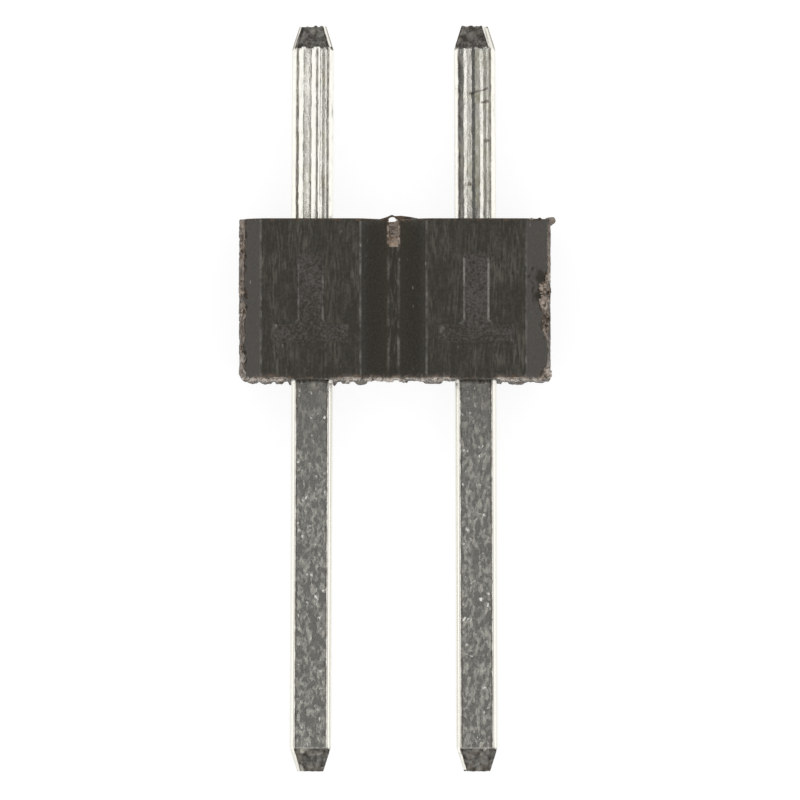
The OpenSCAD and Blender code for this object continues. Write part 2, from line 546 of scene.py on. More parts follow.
def plastic_material(s):
    """Moulded black plastic: rubbed broad faces, grained panels, painted highlights along the edges, bruised
    and torn breaks.
    """
    material, n, shader = new_material("Moulded plastic")
    at = plastic_places(n, s)
    broken = n.plus(at.torn, n.rescale(at.coarse_grain, 0.3, 0.7, -0.55, 0.55))
    bruise = n.rescale(n.times(broken, n.rescale(at.torn, 0.0, 0.15)), 0.1, 0.45)
    pale = n.rescale(n.times(broken, n.rescale(at.torn, 0.3, 0.6)), 0.4, 1.1)
    surface = n.tint(bruise, moulded_colour(n, s, at), s.bruised)
    surface = n.tint(pale, surface, s.torn)
    # Partly painted light: the slot's streaked tan is paler than stretched plastic, lifting the deep slot;
    # darker towards the tail side
    stretch = n.plus(at.broad_lines, n.rescale(at.y, slot_start(s), SEAT_Y, 0.12, -0.15))
    tan = n.tint(n.rescale(stretch, 0.35, 0.7), s.slot_dark, s.slot_pale)
    surface = n.tint(at.in_slot, surface, tan)
    fray = n.times(at.frayed, n.rescale(at.coarse_grain, 0.34, 0.6, 0.1, 1.2))
    surface = n.tint(fray, surface, s.frayed)

    roughness = n.blend(at.rubbed, 0.24, n.rescale(at.lines, 0.3, 0.7, 0.34, 0.46))
    roughness = n.blend(at.panel, roughness, 0.45)
    roughness = n.blend(bruise, roughness, 0.6)
    roughness = n.blend(at.matte, roughness, 1.0)

    height = n.blend(at.rubbed, n.times(at.fine_grain, 0.12), n.times(at.lines, 0.3))
    height = n.blend(at.panel, height, n.times(at.fine_grain, 1.1))
    height = n.blend(bruise, height, n.times(at.fine_grain, 2.5))
    look = {"Base Color": surface, "Roughness": roughness, "IOR": 1.5, "Normal": n.bump(height, 0.012)}
    n.feed(shader, look)
    return material


# Tin

# What a pin's vertices carry: place across the pin before its taper, how dull and how sheared they are
PIN_MARKS = ("across", "dulled", "sheared")
# The plating's grains and how many of each cross a millimetre
TIN_GRAINS = {"speckle": 20.0, "blotches": 11.0, "pits": 30.0, "patches": 1.7, "stains": 6.0}
# Marks across the right tail: middle along the row and along the pins, rise to the right, half length
SCRATCHES = [
    (1.305, 4.74, 0.27, 0.17),
    (1.405, 4.57, 0.0, 0.07),
    (1.436, 3.97, 0.1, 0.055),
    (1.15, 3.3, 0.0, 0.06),
]


def scratches(n, place):
    """Mask of the marks across the right tail's front."""
    x, y, z = n.axes(place)
    wander = n.rescale(n.effect(grain, place, 7.0)["Grain"], 0.3, 0.7, -0.03, 0.03)
    strongest = 0.0
    for middle_x, middle_y, rise, half in SCRATCHES:
        sideways = n.minus(x, middle_x)
        off = n.minus(n.minus(y, middle_y), n.times(sideways, rise))
        off = n.unsigned(n.plus(off, wander))
        within = n.rescale(n.unsigned(sideways), half, 0.8 * half)
        strongest = n.most(strongest, n.times(n.rescale(off, 0.03, 0.008), within))
    broken = n.rescale(n.effect(grain, place, 12.0)["Grain"], 0.35, 0.55, 0.2, 0.85)
    return n.times(strongest, broken, n.rescale(z, MID_Z, MID_Z + 0.1))


def tin_places(n, s):
    """Masks of the pins' posts, tips and corners, and the textures that their finish shares."""
    at = SimpleNamespace(**{mark: n.attribute(mark) for mark in PIN_MARKS})
    place = n.place_in_mm()
    y = n.axes(place)["Y"]
    at.on_post = n.rescale(y, MATING_Y, MATING_Y - 0.05)
    at.post_tip = n.rescale(y, POST_END_Y + s.tip_len + 0.02, POST_END_Y + s.tip_len - 0.02)
    at.tail_tip = n.rescale(y, TAIL_END_Y - s.tip_len - 0.02, TAIL_END_Y - s.tip_len + 0.02)
    at.from_axis = n.unsigned(at.across)
    at.flat_half = PIN_W / 2 - s.corner_r
    at.corner = n.rescale(at.from_axis, at.flat_half + 0.018, at.flat_half + 0.036)
    for name, fineness in TIN_GRAINS.items():
        setattr(at, name, n.effect(grain, place, fineness)["Grain"])
    at.lines = n.effect(rubbed_lines, place, 14.0)["Lines"]
    at.glints = n.effect(flecks, place, 6.0)["Flecks"]
    at.scratched = scratches(n, place)
    at.blobs = n.noise(n.stretched(place, (17.0, 8.0, 17.0), 0.1), 1.0, 2.0, 0.5, 0.4)
    at.mottle = n.noise(n.stretched(place, (36.0, 17.0, 36.0), -0.15), 1.0, 3.0, 0.6, 0.3)
    marks = n.effect(flecks, place, 15.0)
    in_patches = n.rescale(at.patches, 0.4, 0.6, 0.4, 1.0)
    at.marks = n.times(marks["Flecks"], in_patches, n.inverse(at.corner))
    at.marks_tilt = marks["Tilt"]
    return at


def tin_roughness(n, s, at):
    """Mottled posts, clean tails with dull bands, and blotched tips."""
    post = n.plus(
        n.rescale(at.blobs, 0.34, 0.68, -0.28, 0.3),
        s.post_rough,
        n.rescale(at.mottle, 0.32, 0.68, -0.24, 0.26),
        n.rescale(at.stains, 0.35, 0.65, -0.1, 0.1),
    )
    post = n.blend(at.marks, post, 0.35)
    post = n.blend(at.corner, post, 0.12)
    unevenness = n.plus(
        n.rescale(at.blobs, 0.34, 0.68, -0.16, 0.16),
        n.rescale(at.mottle, 0.32, 0.68, -0.12, 0.12),
    )
    unevenness = n.times(unevenness, n.rescale(at.dulled, 0.0, 0.8, 0.3, 1.0))
    tail = n.plus(n.blend(at.dulled, s.tail_rough, s.dull_rough), unevenness)
    tail = n.most(tail, 0.05)
    tip = n.plus(n.rescale(at.blotches, 0.35, 0.7, 0.1, 0.55), n.times(at.post_tip, 0.08))
    tip = n.blend(at.glints, tip, 0.95)
    return n.blend(at.sheared, n.blend(at.on_post, tail, post), tip)


def tin_colour(n, s, at):
    """Pale plating with bare tips, milky tarnish on the dull bands, dirt in the scratches, and painted dark
    reflections and shade along the edges.
    """
    shade = n.tint(n.rescale(at.speckle, 0.3, 0.7), tuple(0.95 * part for part in s.tin), s.tin)
    bare = n.times(at.sheared, n.rescale(at.stains, 0.35, 0.6, 1.0, 0.25), n.inverse(at.glints))
    shade = n.tint(bare, shade, s.bare)
    tarnished = n.plus(
        n.rescale(at.blobs, 0.36, 0.66, 0.2, 0.6),
        n.rescale(at.mottle, 0.36, 0.66, 0.0, 0.4),
    )
    tarnished = n.times(tarnished, n.rescale(at.dulled, 0.05, 0.5, 0.08, 1.0), n.inverse(at.on_post))
    milky = n.tint(n.rescale(at.patches, 0.42, 0.58), s.tarnish, s.bloom)
    shade = n.tint(tarnished, shade, milky)
    # Painted dark reflection where the flat faces turn into the rounded corners, broken up by the stains
    # noise
    at_edge = n.times(
        n.rescale(at.from_axis, at.flat_half - 0.006, at.flat_half + 0.01),
        n.rescale(at.from_axis, at.flat_half + 0.04, at.flat_half + 0.024),
    )
    painted_dark_reflection = n.times(at_edge, n.rescale(at.stains, 0.35, 0.6, 0.15, 0.7))
    # Painted shade along the pins' outer edges, strongest at the tail tips
    outline = n.rescale(at.from_axis, PIN_W / 2 - 0.03, PIN_W / 2 - 0.012)
    outline = n.times(outline, n.rescale(at.tail_tip, 0.0, 1.0, 0.08, 1.0), 0.8)
    return n.tint(n.most(outline, painted_dark_reflection, at.scratched), shade, s.grime)


def tin_height(n, at):
    """Height of the plating: blobs and leaning marks on the posts, pits and lines on the tails."""
    post = n.plus(n.times(at.blobs, 1.6), n.times(at.mottle, 0.7), n.times(at.marks_tilt, 80.0))
    post = n.times(post, n.inverse(n.times(at.corner, 0.95)))
    tail = n.plus(n.times(at.blobs, 1.3), n.times(at.mottle, 1.1), n.times(at.pits, 1.8))
    tail = n.times(tail, n.rescale(at.dulled, 0.0, 0.3, 0.1, 1.0))
    tail = n.plus(n.times(at.lines, 0.2), tail)
    return n.blend(at.sheared, n.blend(at.on_post, tail, post), n.times(at.blotches, 0.5))


def tin_material(s):
    """Tin plating: clean drawn tails, mottled posts with bright flecks, dark sheared tips."""
    material, n, shader = new_material("Tin plating")
    at = tin_places(n, s)
    look = {
        "Base Color": tin_colour(n, s, at),
        "Metallic": 1.0,
        "Roughness": tin_roughness(n, s, at),
        "Normal": n.bump(tin_height(n, at), 0.006),
    }
    n.feed(shader, look)
    return material


# Housing


def edge_cut(s):
    """How far a rounded edge reaches from its corner, where all corners turn by 45 degrees."""
    return s.edge_r * math.tan(math.pi / 8)


def right_break(s):
    """Place of the right break along the row."""
    return PITCH - s.right_short


def web_front(s):
    """Height of the web's front."""
    return DEPTH - (s.groove_w - s.web_w) / 2


def slot_start(s):
    """Where the slot in the web's tail end begins along the pins."""
    return SEAT_Y - s.slot_len


def slot_half(s):
    """Half of the slot's width."""
    return s.web_w / 2 - edge_cut(s)


def hole_half(s):
    """Half of a pin hole's width."""
    return PIN_W / 2 + s.hole_gap


def front_line(s):
    """The housing's front as (place along the row, height) points, from the left break to the right."""
    mouth = s.groove_w / 2
    left_short = LEFT_X + PITCH
    return [
        (LEFT_X, DEPTH - mouth + left_short),
        (mouth - PITCH, DEPTH),
        (-mouth, DEPTH),
        (-s.web_w / 2, web_front(s)),
        (s.web_w / 2, web_front(s)),
        (mouth, DEPTH),
        (PITCH - mouth, DEPTH),
        (right_break(s), DEPTH - mouth + s.right_short),
    ]


def plan_corners(s):
    """Corners of the housing's plan as (x, z), round from the left break's front edge."""
    front = front_line(s)
    return front + [(x, DEPTH - z) for x, z in reversed(front)]


def is_moulded(x, s):
    """Whether a corner at a place along the row is moulded and not broken."""
    return LEFT_X + TINY < x < right_break(s) - TINY


def housing_block(s):
    """The housing's plan, rounded along the pins, drawn out from the tail side to the mating side."""
    bm = bmesh.new()
    bm.faces.new([bm.verts.new((x, SEAT_Y, z)) for x, z in plan_corners(s)])
    bmesh.ops.bevel(
        bm,
        geom=[vert for vert in bm.verts if is_moulded(vert.co.x, s)],
        offset=edge_cut(s),
        affect="VERTICES",
        segments=3,
        profile=0.5,
        material=-1,
    )
    drawn = new_verts(bmesh.ops.extrude_face_region(bm, geom=bm.faces[:]))
    bmesh.ops.translate(bm, verts=drawn, vec=(0, MATING_Y - SEAT_Y, 0))
    bmesh.ops.recalc_face_normals(bm, faces=bm.faces)
    bmesh.ops.bevel(
        bm,
        geom=[edge for edge in bm.edges if abs(edge.verts[0].co.y - edge.verts[1].co.y) < TINY],
        offset=s.rim_r,
        affect="EDGES",
        segments=2,
        profile=0.5,
        material=-1,
        clamp_overlap=False,
    )
    return bm


def cut_lines(s):
    """Where the block is cut across X, Y and Z, so that every feature has lines of its own."""
    mouth = s.groove_w / 2
    hold = edge_cut(s) + 0.01
    stem = s.panel_stem_w / 2
    bar = s.panel_bar_w / 2
    hole = hole_half(s)
    slot = slot_half(s)
    across = [mouth - PITCH + hold, PITCH - mouth - hold, -slot, 0.0, slot, -mouth - hold, mouth + hold]
    for x in PIN_X.values():
        for reach in (stem - s.panel_wall, stem, stem + s.panel_flare, hole, bar - s.panel_wall, bar):
            across += [x - reach, x + reach]
    left_end = spread([LEFT_X, mouth - PITCH - hold], s.end_step)
    right_end = spread([PITCH - mouth + hold, right_break(s)], s.end_step)
    stem_top = SEAT_Y - s.panel_inset
    bar_top = stem_top - s.panel_stem_len
    down = [
        MATING_Y + 2 * s.rim_r,
        bar_top - s.panel_bar_len,
        bar_top,
        bar_top + s.panel_flare,
        stem_top,
        slot_start(s),
        SEAT_Y - 2 * s.rim_r,
    ]
    under_face = 0.02
    through = [under_face, MID_Z - hole, MID_Z + hole, DEPTH - under_face]
    # The sides are cut more coarsely from front to back
    through_step = 1.4 * s.step
    return left_end + spread(across, s.step) + right_end, spread(down, s.step), spread(through, through_step)


def cut(bm, axis, places):
    """Cuts the whole mesh across one axis at each place."""
    normal = Vector((0, 0, 0))
    normal[axis] = 1
    for place in places:
        everything = bm.verts[:] + bm.edges[:] + bm.faces[:]
        bmesh.ops.bisect_plane(bm, geom=everything, dist=SNAP, plane_co=normal * place, plane_no=normal)


# How far the right-hand side of the slot's ridge rises to the burr, and how deep its notches are
RIDGE_RISE = 0.03
RIDGE_NOTCH = 0.01


def open_web_slot(bm, s):
    """Takes the web's tail end away and closes it with two slopes that meet in a ridge."""
    half = slot_half(s)
    start = slot_start(s)
    gone = []
    for face in bm.faces:
        middle = face.calc_center_median()
        if abs(middle.x) < half and middle.y > start:
            gone.append(face)
    bmesh.ops.delete(bm, geom=gone, context="FACES")
    lips = [e for e in bm.edges if e.is_boundary and all(abs(v.co.y - start) < SNAP for v in e.verts)]
    front_lip = [e for e in lips if e.verts[0].co.z > MID_Z]
    back_lip = [e for e in lips if e.verts[0].co.z < MID_Z]
    ridge = new_verts(bmesh.ops.extrude_edge_only(bm, edges=front_lip))
    for vert in ridge:
        rise = RIDGE_RISE * ease(vert.co.x, 0.01, 0.045)
        vert.co.y = SEAT_Y - s.slot_back + rise - RIDGE_NOTCH * abs(rough(vert.co.x, 0, 0, 0.03))
        vert.co.z = MID_Z
    ridge_edges = [e for e in bm.edges if e.is_boundary and all(v in ridge for v in e.verts)]
    bmesh.ops.bridge_loops(bm, edges=ridge_edges + back_lip)
    bmesh.ops.holes_fill(bm, edges=[e for e in bm.edges if e.is_boundary], sides=0)


# How far a hole's corners are drawn in to the pin's rounded corners
HOLE_CORNER = 0.024


def open_pin_holes(bm, s):
    """Opens the holes that the pins pass through."""
    reach = hole_half(s)
    for x in PIN_X.values():
        gone = []
        for face in bm.faces:
            middle = face.calc_center_median()
            if abs(middle.x - x) < reach and abs(middle.z - MID_Z) < reach and abs(face.normal.y) > 0.9:
                gone.append(face)
        bmesh.ops.delete(bm, geom=gone, context="FACES")
        mouths = [edge for edge in bm.edges if edge.is_boundary]
        for vert in {vert for edge in mouths for vert in edge.verts}:
            if abs(abs(vert.co.x - x) - reach) < SNAP and abs(abs(vert.co.z - MID_Z) - reach) < SNAP:
                vert.co.x -= math.copysign(HOLE_CORNER, vert.co.x - x)
                vert.co.z -= math.copysign(HOLE_CORNER, vert.co.z - MID_Z)
        bmesh.ops.bridge_loops(bm, edges=mouths)


def wear_edges(bm, s, marks):
    """Paints broken highlights along the edges that run with the pins, brighter pale strips along the slot's
    lips, and a bruised rim on the tail side that is partly a painted pale highlight.
    """
    corners = [(x, z) for x, z in plan_corners(s) if is_moulded(x, s)]
    for vert in bm.verts:
        x, y, z = vert.co
        if any(math.hypot(x - a, z - b) < 0.7 * s.edge_r for a, b in corners):
            sheen_breakup = 0.3 + 0.9 * rough(x, y, z, 0.17, 3.0) + 0.5 * rough(x, y, z, 0.05, 1.0)
            # Painted highlight along the edge, broken up by noise
            vert[marks.worn] = clamp(sheen_breakup, 0.1) * (0.4 if abs(x) < s.web_w else 0.65)
            # Painted highlight: a brighter pale strip along the slot's lips
            if abs(x) < s.web_w and y > slot_start(s) + 0.03:
                vert[marks.torn] = 0.7
        # The tail side's rim is bruised and partly painted with a pale highlight
        if y > SEAT_Y - 1.1 * s.rim_r and 0.1 < vert.normal.y < 0.98:
            vert[marks.torn] = clamp(0.3 + 0.4 * rough(x, y, z, 0.1, 7.0))
            vert.co.y -= 0.008 * abs(rough(x, y, z, 0.06, 7.0))
        elif y > SEAT_Y - 0.06:
            bruise = 0.3 + 0.5 * rough(x, 0.5 * y, z, 0.12, 5.0)
            bruise = clamp(bruise) * ease(y, SEAT_Y - 0.06, SEAT_Y - 0.01)
            vert[marks.torn] = max(vert[marks.torn], bruise)


def panel_reach(u, d, s):
    """How far a point lies inside a panel's outline: u from its middle line, d below the stem's top."""
    stem = s.panel_stem_w / 2
    bar = s.panel_bar_w / 2
    end = s.panel_stem_len + s.panel_bar_len
    # The slopes at the ends are gentler than the walls at the sides
    gentle = s.panel_wall / s.panel_fade
    in_stem = min(stem - u, gentle * d, gentle * (end - d))
    in_bar = min(bar - u, gentle * (d - s.panel_stem_len), gentle * (end - d))
    in_flare = min(
        (stem + d - s.panel_stem_len + s.panel_flare - u) / math.sqrt(2),
        d - s.panel_stem_len + 2 * stem,
        s.panel_stem_len + s.panel_flare - d,
    )
    return max(in_stem, in_bar, in_flare)


def sink_panels(bm, s, marks):
    """Sinks a grained panel into the front face over each pin, with a painted highlight, broken up by noise,
    along the rim at its sides.
    """
    for vert in bm.verts:
        x, y, z = vert.co
        if z < DEPTH - TINY:
            continue
        for pin_x in PIN_X.values():
            u = abs(x - pin_x)
            d = SEAT_Y - s.panel_inset - y
            reach = panel_reach(u, d, s)
            if reach < -TINY:
                continue
            depth = clamp(reach / s.panel_wall)
            vert[marks.panel] = clamp(2 * depth)
            vert.co.z -= s.panel_depth * depth + 0.006 * depth * rough(x, y, 0, 0.05)
            sheen_breakup = 0.7 * rough(x, y, 0, 0.2, 5.0) + 0.5 * rough(x, y, 0, 0.06, 5.0)
            at_stem = u < s.panel_stem_w / 2 + s.panel_flare + 0.01 and 0.1 < d < s.panel_stem_len + 0.02
            # Painted highlight along the stem's rim, and a fainter one at the bar's ends
            if at_stem and reach < 0.5 * s.panel_wall:
                vert[marks.worn] = clamp(0.65 + sheen_breakup if x > 0 else 0.55 * d - 0.2 + sheen_breakup)
                vert[marks.worn] *= 1 - 0.6 * ease(d, s.panel_stem_len - 0.1, s.panel_stem_len)
            elif u > s.panel_bar_w / 2 - 0.09:
                vert[marks.worn] = clamp(0.05 + 0.8 * sheen_breakup) * depth


# How far a break's damage reaches into the housing
TEAR_REACH = 0.3
# How deep the break has bitten into the right end's front edge: place along the pins, share of the tear
RIGHT_BITE = [
    (0.28, 1.5), (0.38, 1.4), (0.5, 0.7), (0.6, 0.4), (0.77, 0.35), (0.9, 0.9), (1.0, 1.2), (1.15, 1.5),
    (1.3, 1.5), (1.5, 1.6), (1.75, 1.3), (1.95, 0.5), (2.74, 0.4),
]
# How frayed the left end (-1) and the right end (1) are, and how dull and dark the line beside their tears
# is; at the right end this line is painted shade round the crumbs
END_FRAY = {-1: 0.45, 1: 0.35}
END_DULL_SHADE = {-1: 1.0, 1: 0.45}


def tear_ends(bm, s, marks):
    """Rounds and roughens the two broken ends and marks their tears, with a dull dark line beside each,
    which at the right end is painted shade.
    """
    front = front_line(s)
    for side, (end_x, edge_z) in ((-1, front[0]), (1, front[-1])):
        for vert in bm.verts:
            x, y, z = vert.co
            inside = side * (end_x - x)
            if inside > TEAR_REACH:
                continue
            away = math.hypot(inside, abs(z - MID_Z) - (edge_z - MID_Z))
            bite = s.tear * (along(RIGHT_BITE, y) if z > MID_Z and side > 0 else 1.0)
            bite *= 1 + 0.4 * rough(x, y, z, 0.16, 2.0 + side) + 0.4 * rough(x, y, z, 0.06, 5.0 + side)
            eroded = bite * math.exp(-((away / (1.2 * bite + 0.01)) ** 2))
            in_face = 1 - ease(inside, 0.0, 0.02)
            damage = clamp(max(in_face, 1.3 * eroded / bite))
            relief = 0.022 * rough(x, y, z, 0.13, side) + 0.022 * rough(x, y, z, 0.055, 4.0)
            relief += 0.012 * rough(x, y, z, 0.03, 6.0)
            inward = max(0.92 * eroded + (0.014 - relief) * damage, side * (x - end_x))
            vert.co.x -= side * inward
            vert.co.z += math.copysign(0.5 * relief * damage - 0.38 * eroded, z - MID_Z)
            # Away from the front the tear is dark
            shown = 0.38 + 0.62 * ease(z, edge_z - 0.4, edge_z - 0.1)
            vert[marks.torn] = max(vert[marks.torn], clamp(damage * (0.7 + 17 * relief)) * shown)
            # Dull dark line beside the tear; at the right end it is painted shade round the crumbs
            beside = ease(damage, 0.03, 0.2) * (1 - ease(damage, 0.4, 0.7))
            vert[marks.matte] = beside * END_DULL_SHADE[side]
            fuzz = clamp(END_FRAY[side] + 0.6 * rough(x, y, z, 0.1, 9.0)) * ease(damage, 0.5, 0.9)
            vert[marks.frayed] += fuzz * (1 - ease(y, 0.5, 0.95)) * shown ** 3


def wear_corner(bm, s, marks):
    """Rounds the corner between the left end and the mating side."""
    centre = Vector((LEFT_X + s.worn_r, MATING_Y + s.worn_r))
    for vert in bm.verts:
        out = vert.co.xy - centre
        if out.x > 0 or out.y > 0 or out.length <= s.worn_r:
            continue
        vert.co.xy = centre + out.normalized() * s.worn_r
        shown = ease(vert.co.z, DEPTH - 0.8, DEPTH - 0.3)
        vert[marks.torn] = max(vert[marks.torn], 0.3 + 0.55 * shown)
        vert[marks.frayed] = clamp(0.8 + 0.6 * rough(*vert.co, 0.1, 4.0)) * shown


# Hollows in the right end's front edge, with painted shade in them beside the crumbs: place, reach
HOLLOWS = [((2.27, 1.84, 2.26), 0.25), ((2.21, 1.55, 2.3), 0.21)]
HOLLOW_DEPTH = 0.03


def hollow_right_end(bm, marks):
    """Hollows the right end's front edge beside the crumbs and paints shade there: less pale tear, dull and
    dark.
    """
    for place, reach in HOLLOWS:
        for vert in bm.verts:
            away = ((vert.co - Vector(place)) * Vector((1, 1.5, 1))).length
            away *= 1 + 0.7 * rough(*vert.co, 0.12, 1.0) + 0.5 * rough(*vert.co, 0.05, 3.0)
            if away < reach:
                near = 1 - ease(away, 0.2 * reach, reach)
                vert.co.z -= HOLLOW_DEPTH * near
                # Painted shade: the tear is less pale and the hollow dull and dark
                vert[marks.torn] *= 1 - 0.8 * near
                vert[marks.matte] = max(vert[marks.matte], 0.8 * near)


# Tongues of flash along the mating side's back edge: left end, right end, length
FLASH = [
    (-2.26, -2.11, 0.026), (-2.07, -1.89, 0.028), (-1.84, -1.71, 0.026), (-1.63, -1.57, 0.045),
    (-0.95, -0.89, 0.045), (-0.81, -0.67, 0.022), (-0.59, -0.4, 0.04), (0.08, 0.23, 0.03),
    (0.46, 0.77, 0.024), (1.59, 1.69, 0.024), (1.77, 2.04, 0.036), (2.2, 2.37, 0.02),
]
# How far the mating side's back edge is worn away between the tongues: place along the row, distance
WORN_BACK = [
    (-2.3, 0.01), (-1.75, 0.016), (-1.6, 0.03), (-0.85, 0.02), (-0.45, 0.03), (-0.3, 0.045), (0.0, 0.045),
    (0.2, 0.03), (0.8, 0.035), (1.6, 0.02), (2.3, 0.02),
]
# How frayed the mating side is: place along the row, share
FRAY = [
    (-2.4, 0.9), (-2.0, 0.5), (-0.9, 0.55), (-0.76, 0.7), (-0.7, 2.0), (-0.64, 2.0), (-0.58, 0.8),
    (-0.4, 0.9), (0.0, 1.1), (0.5, 0.7), (1.7, 0.6), (2.3, 0.8),
]
# Height above the mating side up to which it is worn, and up to which its skin is uneven all over
WORN_UP = 0.12
SKIN_UP = 0.016


def flash_reach(x):
    """How far the flash hangs below the mating side at a place along the row."""
    reach = 0.0
    for left, right, hang in FLASH:
        off = abs(2 * x - left - right) / (right - left)
        if off < 1:
            reach = max(reach, hang * math.sqrt(1 - off ** 4))
    return reach


def roughen_mating_side(bm, s, marks):
    """Gives the mating side an uneven frayed skin, and ragged brown flash at its back edge."""
    front = front_line(s)
    for vert in bm.verts:
        x, y, z = vert.co
        low_down = 1 - ease(y, MATING_Y, MATING_Y + WORN_UP)
        if low_down == 0:
            continue
        level = clamp((MATING_Y + SKIN_UP - y) / SKIN_UP)
        fade = 0.4 * (1 - ease(y, MATING_Y + 0.01, MATING_Y + 0.08)) * (1 - level)
        back = 1 - ease(z, 0.1, 0.5)
        flash = flash_reach(x)
        skin = 0.02 * max(0.0, rough(x, 0, z, 0.16, 1.0)) + 0.03 * abs(rough(x, 0, z, 0.06, 6.0))
        hang = flash * (0.85 + 0.45 * rough(x, 0, z, 0.05, 2.0)) + 0.02 * abs(rough(x, 0, 0, 0.045, 9.0))
        tongue = ease(flash, 0.0, 0.02) * (1 - ease(z, 0.6, 1.5))
        if y < MATING_Y + 0.02:
            vert.co.y -= (0.35 + 0.65 * level) * (skin * (1 - back) + max(skin, hang) * back)
        # Where no tongue hangs, the back edge is worn away
        vert.co.y += along(WORN_BACK, x) * low_down * (1 - z / DEPTH) * (1 - tongue)
        # The skin beside the pins is clean, and only the front rim is pale
        open_skin = min(ease(abs(x - pin_x), 0.27, 0.36) for pin_x in PIN_X.values())
        front_z = along(front, x)
        shown = ease(z, front_z - 0.5, front_z - 0.1)
        bruise = 0.75 + 0.8 * rough(x, 0, 0.5 * z, 0.09, 8.0) - 0.55 * tongue
        bruise *= 0.42 + 0.58 * shown
        bruise = max(bruise, 0.75 * tongue * (1 - ease(z, 0.2, 0.6)))
        bruise = clamp(bruise) * (fade + level) * (0.25 + 0.75 * open_skin)
        vert[marks.torn] = max(vert[marks.torn], bruise)
        fuzz = along(FRAY, x) + 0.6 * rough(x, 0, 0.3 * z, 0.1, 3.0) + 0.6 * rough(x, 0, z, 0.05, 5.0)
        fuzz = clamp(fuzz - 0.8 * tongue) * (0.3 * fade + level) * (0.1 + 0.9 * open_skin) * shown
        vert[marks.frayed] = max(vert[marks.frayed], fuzz)


# Crumbs of torn plastic that still hang on: place, length of each half axis, how torn
CRUMBS = [
    ((2.285, 1.67, 2.245), (0.11, 0.1, 0.06), 0.62),
    ((2.3, 1.46, 2.225), (0.12, 0.13, 0.07), 0.7),
    ((2.375, 1.83, 2.11), (0.05, 0.1, 0.05), 0.85),
    ((2.39, 1.63, 2.09), (0.04, 0.09, 0.05), 0.6),
    ((2.37, 1.22, 2.1), (0.05, 0.08, 0.05), 0.65),
    ((2.36, 1.05, 2.11), (0.045, 0.07, 0.05), 0.6),
    ((2.36, 0.36, 2.13), (0.08, 0.09, 0.06), 0.95),
    ((2.25, 0.3, 2.22), (0.09, 0.06, 0.05), 0.75),
    ((2.11, 2.725, 2.45), (0.035, 0.02, 0.035), 0.7),
    ((2.245, 2.73, 2.3), (0.04, 0.022, 0.035), 0.45),
    ((-2.335, 1.62, 2.12), (0.05, 0.1, 0.05), 0.7),
    ((-2.34, 1.3, 2.1), (0.045, 0.08, 0.05), 0.85),
    ((-2.33, 0.75, 2.12), (0.045, 0.07, 0.05), 0.65),
    ((-2.335, 2.3, 2.12), (0.04, 0.1, 0.05), 0.6),
]


def add_crumbs(bm, marks):
    """Adds the lumps that hang on the torn ends."""
    for index, (place, halves, pale) in enumerate(CRUMBS):
        made = bmesh.ops.create_icosphere(bm, subdivisions=4, radius=1.0)
        for vert in made["verts"]:
            x, y, z = vert.co
            swell = 0.8 + 0.35 * rough(x, y, z, 0.9, index) + 0.3 * rough(x, y, z, 0.35, index)
            vert.co = Vector(place) + vert.co * Vector(halves) * swell
            vert.co.x = clamp(vert.co.x, HOUSING_LOW.x, HOUSING_HIGH.x)
            vert.co.y = max(vert.co.y, MATING_Y - 0.03)
            vert[marks.torn] = clamp(pale + 0.7 * rough(x, y, z, 0.4, index))
            vert[marks.frayed] = clamp(1.5 * (pale - 0.65) + 0.6 * rough(x, y, z, 0.5, index))


# Distance between the lumps of fluff, half length of each axis, and clear distance from a pin's middle
FLUFF_STEP = 0.045
FLUFF_HALVES = (0.052, 0.041, 0.05)
FLUFF_CLEAR = 0.37


def add_fluff(bm, s, marks):
    """Adds the row of small frayed lumps along the mating side's front edge."""
    front = front_line(s)
    for index, x in enumerate(spread([LEFT_X + 0.1, HOUSING_HIGH.x - 0.25], FLUFF_STEP)):
        wobble = rough(x, 0, 0, 0.13, 3.3)
        fray = along(FRAY, x)
        bare = wobble < -0.4 and fray < 1.5
        if bare or min(abs(x - pin_x) for pin_x in PIN_X.values()) < FLUFF_CLEAR:
            continue
        front_z = along(front, x)
        size = 0.85 + 0.8 * wobble + 0.8 * max(0.0, fray - 1)
        y = MATING_Y - 0.014 + 0.016 * rough(x, 0, 0, 0.11, 6.1)
        z = front_z - 0.07 + 0.04 * rough(x, 0, 0, 0.09, 1.7)
        made = bmesh.ops.create_icosphere(bm, subdivisions=3, radius=1.0)
        for vert in made["verts"]:
            a, b, c = vert.co
            swell = 0.8 + 0.4 * rough(a, b, c, 0.9, index) + 0.35 * rough(a, b, c, 0.35, index)
            vert.co = Vector((x, y, z)) + vert.co * Vector(FLUFF_HALVES) * size * swell
            vert.co.z = min(vert.co.z, front_z - 0.005)
            vert[marks.torn] = clamp(0.7 + 0.6 * rough(a, b, c, 0.4, index))
            vert[marks.frayed] = clamp(fray + 0.15 + 0.6 * rough(a, b, c, 0.5, index))


# The burr over the web's tail end: place along the row, then its upper and lower line above the tail side
BURR = [
    (-0.227, 0.0, -0.02), (-0.12, 0.03, -0.02), (-0.08, 0.046, 0.002), (-0.05, 0.06, 0.028),
    (-0.02, 0.07, 0.036), (0.015, 0.053, 0.03), (0.04, 0.05, 0.0), (0.116, 0.056, -0.02),
    (0.255, 0.038, -0.02), (0.448, 0.0, -0.02),
]
BURR_THICKNESS = 0.05


